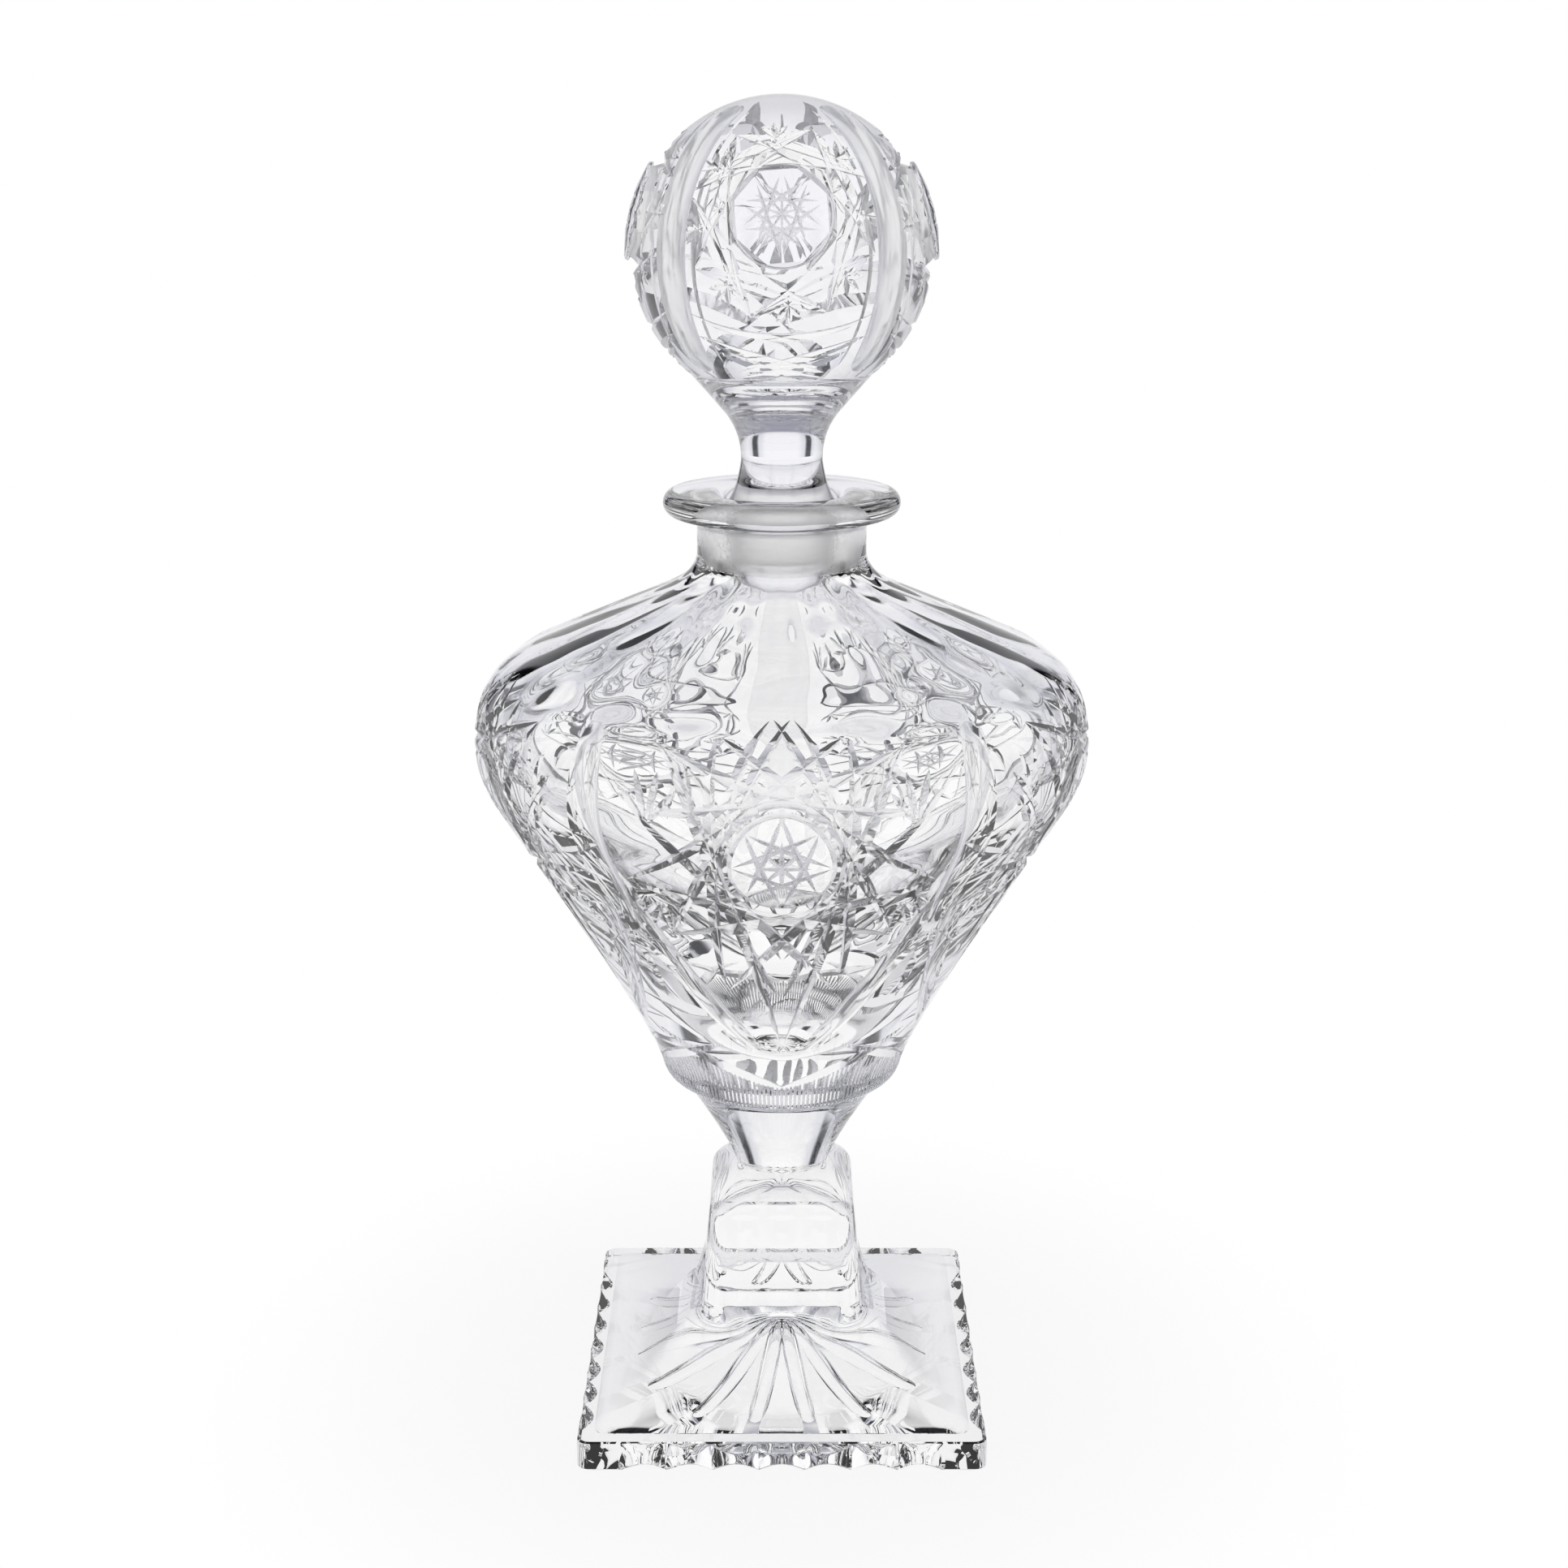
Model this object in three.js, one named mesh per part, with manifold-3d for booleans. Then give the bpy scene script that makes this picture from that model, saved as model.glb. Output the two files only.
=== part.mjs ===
// Footed perfume bottle of clear cut crystal. Millimetres, +Z up, origin in the middle of the
// foot's underside. Three pieces of glass: the ball stopper with its ground peg, the cut vessel,
// and the pressed square foot that is fused under the vessel.

import * as THREE from 'three';
import { mergeVertices } from 'three/addons/utils/BufferGeometryUtils.js';
import Module from 'manifold-3d';

const wasm = await Module();
wasm.setup();

// Foot: square plate, flared top, square pedestal block and round stem
const footSide = 80;
const plateEdge = 6.3;
const plateCorner = 2.2;
const blockBase = { half: 16.3, z: 23 };
const blockTop = { half: 14.6, z: 41.5 };
const blockCorner = 4;
const stemNeck = { r: 9.4, z: 48.6 };
const jointZ = 66.8;
const jointRadius = 19.7;
const seam = 0.3;

// Vessel: widest circle, neck, lip and the ground seat inside the neck
const belly = { r: 59.45, z: 137.5 };
const neckRadius = 16.1;
const lip = { r: 22.5, z: 183.5, half: 2.4 };
const seat = { lowR: 9.75, lowZ: 170, highR: 10.75, highZ: 183 };
const cavityFloor = 80;

// Stopper: ball, waist and peg; the peg stands clear of the seat by the seam
const ball = { r: 27.8, z: 229.5 };
const ballRise = THREE.MathUtils.degToRad(15.6);
const waist = { r: 7.7, z: 191.5 };
const pegTip = 163.5;

// Cut pattern. Five fields go round the bowl. Each has an upright oval medallion, which the
// mitres of a star touch. The star's points are given across and up from the medallion's middle,
// from the top down its right side.
const fields = 5;
const medallion = { r: 9.7, z: 129, stretch: 1.16 };
const starSide = [[0, 28.6], [21.3, 21.9], [29.3, -6.5], [10.1, -35.4], [0, -52]];
const starSkip = 3;
const mitreDepth = 1;
const lineDepth = 0.5;
const mitreHalfAngle = THREE.MathUtils.degToRad(55);
const olive = { low: -19.4, high: 24.6, depth: 1.3, wheel: 7 };
const sweep = { depth: 0.8, wheel: 6 };
const shoulderFlutes = 20;
const ballSides = 4;
const ballStarPoints = 8;
const ballMedallion = { r: 8.4, tip: 18.5, boss: 1.1, foot: 9.9 };
const band = { low: -23, high: 33, depth: 0.9, wheel: 9 };

const turn = 2 * Math.PI;
const glass = { color: 0xf4f6f8, roughness: 0.03, metalness: 0 };

// A closed skin through a stack of rings, each an array of points; a ring of one point is a pole.
// A looped stack joins its last ring to its first.
function loft(rings, looped = false) {
  const positions = [];
  const index = [];
  const starts = rings.map((ring) => {
    const start = positions.length / 3;
    ring.forEach((p) => positions.push(p.x, p.y, p.z));
    return start;
  });
  const spans = looped ? rings.length : rings.length - 1;
  for (let k = 0; k < spans; k += 1) {
    const next = (k + 1) % rings.length;
    const low = rings[k].length;
    const high = rings[next].length;
    const count = Math.max(low, high);
    for (let j = 0; j < count; j += 1) {
      const a = starts[k] + (j % low);
      const b = starts[k] + ((j + 1) % low);
      const c = starts[next] + ((j + 1) % high);
      const d = starts[next] + (j % high);
      if (low > 1) index.push(a, b, high > 1 ? c : d);
      if (high > 1) index.push(a, c, d);
    }
  }
  const geometry = new THREE.BufferGeometry();
  geometry.setAttribute('position', new THREE.Float32BufferAttribute(positions, 3));
  geometry.setIndex(index);
  return geometry;
}

function centreOf(ring) {
  const middle = new THREE.Vector3();
  ring.forEach((p) => middle.add(p));
  return [middle.divideScalar(ring.length)];
}

function capped(rings) {
  return loft([centreOf(rings[0]), ...rings, centreOf(rings[rings.length - 1])]);
}

function solidOf(geometry) {
  const bare = geometry.clone();
  bare.deleteAttribute('normal');
  bare.deleteAttribute('uv');
  const merged = mergeVertices(bare, 1e-4);
  return new wasm.Manifold(new wasm.Mesh({
    numProp: 3,
    vertProperties: new Float32Array(merged.attributes.position.array),
    triVerts: new Uint32Array(merged.index.array),
  }));
}

function geometryOf(solid) {
  const mesh = solid.getMesh();
  const geometry = new THREE.BufferGeometry();
  geometry.setAttribute('position', new THREE.BufferAttribute(mesh.vertProperties, 3));
  geometry.setIndex(new THREE.BufferAttribute(mesh.triVerts, 1));
  geometry.computeVertexNormals();
  return geometry;
}

const sliver = 0.06;

// Chips that crossing cuts leave loose fall away, and facets thinner than a sliver are closed up
function cutAll(solid, cutters) {
  const cut = cutters.reduce((rest, cutter) => rest.subtract(solidOf(cutter)), solid);
  const kept = cut.decompose().reduce((best, body) => (body.volume() > best.volume() ? body : best));
  return kept.asOriginal().simplify(sliver);
}

const onAxis = (z) => [new THREE.Vector3(0, 0, z)];

function circle(r, z, columns) {
  return Array.from({ length: columns }, (_, j) => {
    const phi = (turn * j) / columns;
    return new THREE.Vector3(r * Math.cos(phi), r * Math.sin(phi), z);
  });
}

// Profiles are THREE.Path outlines whose x is the radius and y the height. They are sampled so
// that no step turns or reaches further than given.
function samples(path, maxTurn, maxLength) {
  const points = path.curves.flatMap((curve) => {
    const bend = curve.getTangent(0).angleTo(curve.getTangent(1));
    return curve.getPoints(Math.ceil(Math.max(1, bend / maxTurn, curve.getLength() / maxLength)));
  });
  return points.filter((p, i) => i === 0 || p.distanceTo(points[i - 1]) > 1e-3);
}

// The radius of a profile at a height, for a profile that only rises
function radiusAt(points, z) {
  const k = Math.max(1, Math.min(points.length - 1, points.findIndex((p) => p.y >= z)));
  const low = points[k - 1];
  const high = points[k];
  return low.x + ((high.x - low.x) * (z - low.y)) / (high.y - low.y || 1);
}

// A wheel cut: a section swept along stations, each with a place, an outward normal and a depth.
// The section is a list of [side, rise] pairs for that depth, clockwise seen from the start.
function wheelCut(stations, section) {
  const rings = stations.map((s, k) => {
    const before = stations[Math.max(0, k - 1)].place;
    const after = stations[Math.min(stations.length - 1, k + 1)].place;
    const along = after.clone().sub(before).normalize();
    const side = new THREE.Vector3().crossVectors(along, s.normal).normalize();
    return section(s.depth).map(([across, rise]) => s.place.clone()
      .addScaledVector(side, across)
      .addScaledVector(s.normal, rise));
  });
  return capped(rings);
}

const headroom = 0.9;

// Section of a mitre wheel: a V whose edge is at the depth
function mitreSection(depth) {
  const half = (depth + headroom) * Math.tan(mitreHalfAngle);
  return [[0, -depth], [-half, headroom], [half, headroom]];
}

// Section of a round-edged wheel of a given edge radius: the hollow of an olive or flute
function hollowSection(edgeRadius, steps) {
  return (depth) => {
    const top = headroom;
    const reach = Math.acos((edgeRadius - depth - top) / edgeRadius);
    return Array.from({ length: steps + 1 }, (_, i) => {
      const a = reach * (1 - (2 * i) / steps);
      return [edgeRadius * Math.sin(a), edgeRadius - depth - edgeRadius * Math.cos(a)];
    });
  };
}

// How a cut deepens from its pointed ends to its middle
const swell = (t, depth) => depth * Math.sin(Math.PI * t) ** 0.6 - 0.06;

// A surface maps field coordinates (across, up) in millimetres to a place and a normal.
// A cut on it follows a plane curve drawn in those coordinates.
function cutOnSurface(surface, curve, depth, steps, section) {
  const stations = Array.from({ length: steps + 1 }, (_, k) => {
    const t = k / steps;
    const p = curve.getPoint(t);
    return { ...surface(p.x, p.y), depth: swell(t, depth) };
  });
  return wheelCut(stations, section);
}

// A closed ring groove round the middle of a field
function ringCut(surface, radius, depth, steps) {
  const rings = Array.from({ length: steps }, (_, k) => {
    const a = (turn * k) / steps;
    const { place, normal } = surface(radius * Math.cos(a), radius * Math.sin(a));
    const middle = surface(0, 0).place;
    const out = place.clone().sub(middle);
    out.addScaledVector(normal, -out.dot(normal)).normalize();
    return mitreSection(depth).map(([across, rise]) => place.clone()
      .addScaledVector(out, across)
      .addScaledVector(normal, rise));
  });
  return loft(rings, true);
}

// Vessel

function vesselSide() {
  const side = new THREE.Path();
  side.moveTo(jointRadius, jointZ);
  side.lineTo(22.9, 68.9);
  side.quadraticCurveTo(23.8, 69.6, 24.3, 72);
  side.bezierCurveTo(27.5, 82, 44.2, 108, 56.4, 128);
  side.quadraticCurveTo(belly.r, 133.3, belly.r, belly.z);
  side.bezierCurveTo(belly.r, 146, 56.5, 152.3, 48.1, 156);
  side.lineTo(22.5, 167.2);
  side.quadraticCurveTo(neckRadius, 170, neckRadius, 174.5);
  side.lineTo(neckRadius, 178.4);
  side.quadraticCurveTo(neckRadius, lip.z - lip.half, lip.r - lip.half, lip.z - lip.half);
  side.absarc(lip.r - lip.half, lip.z, lip.half, -Math.PI / 2, Math.PI / 2, false);
  side.lineTo(13.5, lip.z + 1.2);
  return side;
}

const fineSide = samples(vesselSide(), 0.02, 1);

// Shoulder flutes: hollows between sharp ridges, deepest half way down the shoulder
const fluteTop = 171;
const fluteEnd = 151;
const fluteHollow = 0.9;

function vesselRadius(phi, z) {
  const plain = radiusAt(fineSide, z);
  const share = THREE.MathUtils.clamp((z - fluteEnd) / (fluteTop - fluteEnd), 0, 1);
  const across = Math.abs(((phi / turn) * shoulderFlutes) % 1);
  const hollow = Math.sin(Math.PI * across) * Math.sin(Math.PI * share) ** 0.7 * fluteHollow;
  return plain - hollow * (0.55 + plain / 60);
}

function vesselRing(r, z, columns) {
  return Array.from({ length: columns }, (_, j) => {
    const phi = (turn * j) / columns;
    const fluted = z > fluteEnd && z < fluteTop ? vesselRadius(phi, z) : r;
    return new THREE.Vector3(fluted * Math.cos(phi), fluted * Math.sin(phi), z);
  });
}

// A field of the vessel: across is measured round the bowl, up along its side from the medallion
const sideLengths = fineSide.reduce((sums, p, i, all) => {
  sums.push(i === 0 ? 0 : sums[i - 1] + p.distanceTo(all[i - 1]));
  return sums;
}, []);

function heightAtLength(length) {
  const k = Math.max(1, sideLengths.findIndex((s) => s >= length));
  const share = (length - sideLengths[k - 1]) / (sideLengths[k] - sideLengths[k - 1]);
  return THREE.MathUtils.lerp(fineSide[k - 1].y, fineSide[k].y, share);
}

const medallionLength = sideLengths[fineSide.findIndex((p) => p.y >= medallion.z)];

function vesselField(middle) {
  return (across, up) => {
    const z = heightAtLength(medallionLength + up);
    const r = radiusAt(fineSide, z);
    const phi = middle + across / r;
    const slope = (radiusAt(fineSide, z + 0.4) - radiusAt(fineSide, z - 0.4)) / 0.8;
    return {
      place: new THREE.Vector3(r * Math.cos(phi), r * Math.sin(phi), z),
      normal: new THREE.Vector3(Math.cos(phi), Math.sin(phi), -slope).normalize(),
    };
  };
}

const starTips = [
  ...starSide,
  ...starSide.slice(1, -1).reverse().map(([across, up]) => [-across, up]),
].map(([across, up]) => new THREE.Vector2(across, up / medallion.stretch));

// A slightly bent line from one point of a star to another that touches a circle on its way
function touching(from, to, radius) {
  const middle = from.clone().add(to).divideScalar(2);
  const aside = new THREE.Vector2(to.y - from.y, from.x - to.x).normalize();
  if (aside.dot(middle) < 0) aside.negate();
  const pull = aside.multiplyScalar(2 * radius).sub(middle);
  return new THREE.QuadraticBezierCurve(from, pull, to);
}

function vesselCuts() {
  const cuts = [];
  for (let f = 0; f < fields; f += 1) {
    const middle = -Math.PI / 2 + (turn * f) / fields;
    const field = vesselField(middle);
    const oval = (across, up) => field(across, up * medallion.stretch);
    cuts.push(ringCut(oval, medallion.r, lineDepth, 16));
    starTips.forEach((tip, i) => {
      const mitre = touching(tip, starTips[(i + starSkip) % starTips.length], medallion.r + 1.7);
      cuts.push(cutOnSurface(oval, mitre, mitreDepth, 6, mitreSection));
    });
    [-1, 1].forEach((lean) => {
      const flute = new THREE.QuadraticBezierCurve(
        new THREE.Vector2(28 * lean, -12),
        new THREE.Vector2(21 * lean, -31),
        new THREE.Vector2(4 * lean, -53),
      );
      cuts.push(cutOnSurface(field, flute, sweep.depth, 5, hollowSection(sweep.wheel, 3)));
    });
    const between = vesselField(middle + Math.PI / fields);
    const upright = new THREE.LineCurve(new THREE.Vector2(0, olive.low), new THREE.Vector2(0, olive.high));
    cuts.push(cutOnSurface(between, upright, olive.depth, 6, hollowSection(olive.wheel, 4)));
    [-1, 1].forEach((lean) => {
      const kerf = new THREE.QuadraticBezierCurve(
        new THREE.Vector2(-17 * lean, -63.9),
        new THREE.Vector2(-6 * lean, -58.4),
        new THREE.Vector2(8 * lean, -51.4),
      );
      cuts.push(cutOnSurface(between, kerf, mitreDepth, 3, mitreSection));
    });
  }
  return cuts;
}

// The inside: a rounded floor, walls that follow the outside, and the ground seat in the neck
function cavity() {
  const wall = new THREE.Path();
  wall.moveTo(0, cavityFloor);
  wall.quadraticCurveTo(8, cavityFloor + 1.5, 15.5, 91);
  wall.bezierCurveTo(24, 103, 40, 114, 51, 130.5);
  wall.quadraticCurveTo(53.8, 134.5, 53.8, 139);
  wall.bezierCurveTo(53.8, 145, 50, 148.2, 44.5, 150.4);
  wall.lineTo(19, 161.4);
  wall.quadraticCurveTo(seat.lowR, 165.5, seat.lowR, seat.lowZ);
  wall.lineTo(seat.highR, seat.highZ);
  wall.quadraticCurveTo(11.2, 185, 14.5, lip.z + lip.half + 1);
  const points = samples(wall, 0.5, 60);
  const rings = points.slice(1).map((p) => circle(p.x, p.y, 24));
  return loft([onAxis(cavityFloor), ...rings, onAxis(points[points.length - 1].y)]);
}

function vesselGeometry() {
  const columns = 40;
  const outline = samples(vesselSide(), 0.5, 16);
  const rings = outline.map((p) => vesselRing(p.x, p.y, columns));
  const top = outline[outline.length - 1].y;
  const blank = solidOf(loft([onAxis(jointZ), ...rings, onAxis(top)]));
  return geometryOf(cutAll(blank.subtract(solidOf(cavity())), vesselCuts()));
}

// Stopper

function stopperProfile() {
  const side = new THREE.Path();
  side.moveTo(0, pegTip);
  side.quadraticCurveTo(7.2, pegTip + 0.4, seat.lowR - seam - 0.2, seat.lowZ - 0.4);
  side.lineTo(seat.highR - seam, seat.highZ);
  side.quadraticCurveTo(8.4, 186, waist.r, waist.z);
  side.quadraticCurveTo(7.6, 196.2, 10.4, 200);
  const start = Math.atan2(207.6 - ball.z, 17);
  side.quadraticCurveTo(12.6, 202.6, ball.r * Math.cos(start), ball.z + ball.r * Math.sin(start));
  side.absarc(0, ball.z, ball.r, start, Math.PI / 2, false);
  return side;
}

// A field of the ball is measured along great circles through the middle of its medallion
function ballField(middle) {
  const toRow = new THREE.Matrix4().makeRotationZ(middle + Math.PI / 2)
    .multiply(new THREE.Matrix4().makeRotationX(-ballRise));
  return (across, up) => {
    const away = Math.hypot(across, up) / ball.r;
    const heading = Math.atan2(across, up);
    const normal = new THREE.Vector3(
      Math.sin(away) * Math.sin(heading),
      -Math.cos(away),
      Math.sin(away) * Math.cos(heading),
    ).applyMatrix4(toRow);
    const place = normal.clone().multiplyScalar(ball.r);
    place.z += ball.z;
    return { place, normal };
  };
}

// The bands between the ball's fields follow its meridians
function ballMeridian(middle) {
  return (across, up) => {
    const rise = up / ball.r;
    const phi = middle + across / (ball.r * Math.cos(rise));
    const normal = new THREE.Vector3(
      Math.cos(rise) * Math.cos(phi),
      Math.cos(rise) * Math.sin(phi),
      Math.sin(rise),
    );
    const place = normal.clone().multiplyScalar(ball.r);
    place.z += ball.z;
    return { place, normal };
  };
}

// The medallion stands a little proud of the ball, as a low boss with a sloping edge
function boss(field) {
  const columns = 24;
  const at = (radius, height) => Array.from({ length: radius > 0 ? columns : 1 }, (_, j) => {
    const a = (turn * j) / columns;
    const { place, normal } = field(radius * Math.cos(a), radius * Math.sin(a));
    return place.addScaledVector(normal, height);
  });
  const { r, boss: height, foot } = ballMedallion;
  const inside = -3;
  return loft([at(0, inside), at(foot, -0.8), at(r + 0.3, height * 0.9), at(0, height)]);
}

function stopperCuts() {
  const cuts = [];
  for (let f = 0; f < ballSides; f += 1) {
    const middle = -Math.PI / 2 + (turn * f) / ballSides;
    const field = ballField(middle);
    for (let i = 0; i < ballStarPoints; i += 1) {
      const tip = (k) => {
        const angle = (turn * (k + 0.4)) / ballStarPoints;
        return new THREE.Vector2(Math.sin(angle), Math.cos(angle)).multiplyScalar(ballMedallion.tip);
      };
      const mitre = touching(tip(i), tip(i + 3), ballMedallion.r + 2.2);
      cuts.push(cutOnSurface(field, mitre, mitreDepth, 3, mitreSection));
    }
    const frame = new THREE.QuadraticBezierCurve(
      new THREE.Vector2(-18, -9.4),
      new THREE.Vector2(0, -18.2),
      new THREE.Vector2(18, -9.4),
    );
    cuts.push(cutOnSurface(ballMeridian(middle), frame, lineDepth, 6, mitreSection));
    [-1, 1].forEach((lean) => {
      const arc = new THREE.QuadraticBezierCurve(
        new THREE.Vector2(-16 * lean, -15),
        new THREE.Vector2(-2 * lean, -20),
        new THREE.Vector2(9 * lean, -23.5),
      );
      cuts.push(cutOnSurface(ballMeridian(middle), arc, mitreDepth, 4, mitreSection));
    });
    const between = ballMeridian(middle + Math.PI / ballSides);
    const upright = new THREE.LineCurve(new THREE.Vector2(0, band.low), new THREE.Vector2(0, band.high));
    cuts.push(cutOnSurface(between, upright, band.depth, 8, hollowSection(band.wheel, 4)));
  }
  return cuts;
}

function stopperGeometry() {
  const outline = samples(stopperProfile(), 0.25, 12);
  const rings = outline.slice(1, -1).map((p) => circle(p.x, p.y, 36));
  let blank = solidOf(loft([onAxis(pegTip), ...rings, onAxis(ball.z + ball.r)]));
  for (let f = 0; f < ballSides; f += 1) {
    blank = blank.add(solidOf(boss(ballField(-Math.PI / 2 + (turn * f) / ballSides))));
  }
  return geometryOf(cutAll(blank, stopperCuts()));
}

// Foot

// A square with rounded corners, as one ring: its corner arcs and the points along its sides
function roundedSquare(half, corner, z) {
  const arcSteps = 5;
  const ring = [];
  for (let q = 0; q < 4; q += 1) {
    const turnQ = (Math.PI / 2) * q;
    const inner = new THREE.Vector2(half - corner, half - corner).rotateAround(new THREE.Vector2(), turnQ);
    for (let i = 0; i <= arcSteps; i += 1) {
      const a = turnQ + ((Math.PI / 2) * i) / arcSteps;
      ring.push(new THREE.Vector3(inner.x + corner * Math.cos(a), inner.y + corner * Math.sin(a), z));
    }
  }
  return ring;
}

// The foot's outline as half-width, corner radius and height, from the plate's top edge upward
function footRings() {
  const rim = footSide / 2;
  const rings = [roundedSquare(rim - 4, plateCorner, plateEdge - 2)];
  const flare = new THREE.QuadraticBezierCurve(
    new THREE.Vector2(rim - 4, plateEdge + 0.6),
    new THREE.Vector2(19, 11),
    new THREE.Vector2(blockBase.half, blockBase.z),
  );
  flare.getPoints(8).forEach((p) => rings.push(roundedSquare(p.x, blockCorner, p.y)));
  rings.push(roundedSquare(blockTop.half, blockCorner, blockTop.z));
  const shoulder = new THREE.QuadraticBezierCurve(
    new THREE.Vector2(blockTop.half, blockTop.z),
    new THREE.Vector2(14.2, 46.6),
    new THREE.Vector2(stemNeck.r, stemNeck.z),
  );
  shoulder.getPoints(5).slice(1).forEach((p, i) => {
    const corner = THREE.MathUtils.lerp(blockCorner, p.x, (i + 1) / 5);
    rings.push(roundedSquare(p.x, corner * 0.999, p.y));
  });
  const top = jointZ - seam;
  const stem = new THREE.CubicBezierCurve(
    new THREE.Vector2(stemNeck.r, stemNeck.z),
    new THREE.Vector2(11, 53),
    new THREE.Vector2(15.5, 60.5),
    new THREE.Vector2(jointRadius - 0.4, top),
  );
  stem.getPoints(7).slice(1).forEach((p) => rings.push(roundedSquare(p.x, p.x * 0.999, p.y)));
  return rings;
}

// Sides of the plate: hollow scallops that deepen towards the underside, between plain corners
const scallops = 7;
const plainCorner = 8.2;
const scallopSteps = 4;

function scallopedSquare(half, depth, z) {
  const ring = [];
  const pitch = (2 * half - 2 * plainCorner) / scallops;
  for (let q = 0; q < 4; q += 1) {
    const turnQ = (Math.PI / 2) * q;
    const about = (x, y) => {
      const p = new THREE.Vector2(x, y).rotateAround(new THREE.Vector2(), turnQ);
      return new THREE.Vector3(p.x, p.y, z);
    };
    for (let k = 0; k <= scallops * scallopSteps; k += 1) {
      const hollow = depth * Math.sin((Math.PI * (k % scallopSteps)) / scallopSteps);
      ring.push(about(half - hollow, -half + plainCorner + (pitch * k) / scallopSteps));
    }
    for (let i = 0; i <= 4; i += 1) {
      const a = ((Math.PI / 2) * i) / 4;
      ring.push(about(half - plateCorner * (1 - Math.cos(a)), half - plateCorner * (1 - Math.sin(a))));
    }
  }
  return ring;
}

const scallopDepth = { low: 1.9, high: 0.6 };

function plate() {
  const rim = footSide / 2;
  return capped([
    scallopedSquare(rim, scallopDepth.low, 0),
    scallopedSquare(rim, scallopDepth.high, plateEdge - 0.5),
    scallopedSquare(rim - 0.7, 0, plateEdge),
  ]);
}

// Underside: a hollow that follows the flare, and on it a star of rays from the middle, pointed at
// both ends and longer towards the corners
const under = { r: 27, height: 13 };
const rays = 16;
const ray = { depth: 1.4, start: 2, side: 28.5, corner: 34.5 };

function underside() {
  const dome = new THREE.CubicBezierCurve(
    new THREE.Vector2(under.r, 0),
    new THREE.Vector2(12, 2),
    new THREE.Vector2(9, under.height),
    new THREE.Vector2(0, under.height),
  ).getPoints(9);
  const outline = [new THREE.Vector2(under.r + 2, -1), ...dome.slice(0, -1)];
  const rings = outline.map((p) => circle(p.x, p.y, 2 * rays));
  const cutters = [loft([onAxis(-1), ...rings, onAxis(under.height)])];
  const byRadius = dome.map((p) => new THREE.Vector2(p.y, p.x)).reverse();
  const heightAt = (r) => (r < under.r ? radiusAt(byRadius, r) : 0);
  const steps = 8;
  for (let i = 0; i < rays; i += 1) {
    const phi = (turn * (i + 0.5)) / rays;
    const reach = THREE.MathUtils.lerp(ray.side, ray.corner, Math.sin(2 * phi) ** 2);
    const out = new THREE.Vector3(Math.cos(phi), Math.sin(phi), 0);
    const stations = Array.from({ length: steps + 1 }, (_, k) => {
      const r = THREE.MathUtils.lerp(ray.start, reach, k / steps);
      const slope = heightAt(r + 0.5) - heightAt(r - 0.5);
      return {
        place: out.clone().multiplyScalar(r).setZ(heightAt(r)),
        normal: out.clone().multiplyScalar(slope).setZ(-1).normalize(),
        depth: swell(k / steps, ray.depth),
      };
    });
    cutters.push(wheelCut(stations, mitreSection));
  }
  return cutters;
}

function footGeometry() {
  const blank = solidOf(plate()).add(solidOf(capped(footRings())));
  return geometryOf(cutAll(blank, underside()));
}

function piece(name, geometry) {
  const mesh = new THREE.Mesh(geometry, new THREE.MeshStandardMaterial(glass));
  mesh.name = name;
  return mesh;
}

const bottle = new THREE.Group();
bottle.add(piece('foot', footGeometry()));
bottle.add(piece('vessel', vesselGeometry()));
bottle.add(piece('stopper', stopperGeometry()));

export default bottle;
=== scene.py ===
"""Footed perfume bottle of clear cut crystal with a ball stopper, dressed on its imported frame."""

import math

import bmesh
import bpy
import numpy as np
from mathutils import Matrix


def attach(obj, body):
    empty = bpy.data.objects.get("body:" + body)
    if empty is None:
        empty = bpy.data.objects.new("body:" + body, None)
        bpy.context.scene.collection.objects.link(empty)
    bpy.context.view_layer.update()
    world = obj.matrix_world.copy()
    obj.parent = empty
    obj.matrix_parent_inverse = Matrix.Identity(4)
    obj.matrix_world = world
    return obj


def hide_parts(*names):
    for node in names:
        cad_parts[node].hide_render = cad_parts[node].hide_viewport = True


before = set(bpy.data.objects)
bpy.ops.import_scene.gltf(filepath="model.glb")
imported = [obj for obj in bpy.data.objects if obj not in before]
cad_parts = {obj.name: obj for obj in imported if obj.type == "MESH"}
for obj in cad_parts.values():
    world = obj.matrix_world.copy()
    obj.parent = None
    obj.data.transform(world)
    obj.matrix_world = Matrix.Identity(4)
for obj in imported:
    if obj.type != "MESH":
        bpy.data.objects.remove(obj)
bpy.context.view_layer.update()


# Foot. The lower half of the body: a square plate with scalloped sides, a flared top, a square
# block and a round stem. It is lead crystal pressed in a mould, fire-polished, and fused hot to
# the vessel. The mould hollows the underside and draws a star of rays over it.

# Millimetres and degrees; a pair is a half width or radius, and a height
FOOT_SIDE = 80.0
PLATE_EDGE = 6.3
PLATE_CORNER = 2.2
SCALLOPS = 7
SCALLOP_DEPTH = 1.9
PLAIN_CORNER = 8.2
STEP_INSET = 3.2
FLARE_INSET = 4.2
FLARE_ROUNDING = 10.0
BLOCK_BASE = (16.3, 23.0)
BLOCK_TOP = (14.6, 41.5)
BLOCK_CORNER = 4.0
STEM_NECK = (9.4, 48.6)
JOINT_Z = 66.8
JOINT_RADIUS = 19.7
UNDER_RADIUS = 27.0
UNDER_HEIGHT = 13.0
RAYS = 16
RAY_START = 2.0
RAY_REACH = 28.0
RAY_STRETCH = 4.0
RAY_DEPTH = 1.6
RAY_ROUNDING = 1.9
RAY_STEPS = 30
# Points round a ring of the pedestal
COLUMNS = 256
# Where the glass turns more sharply than this, it has an edge
SHARP_ANGLE = 22


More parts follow.
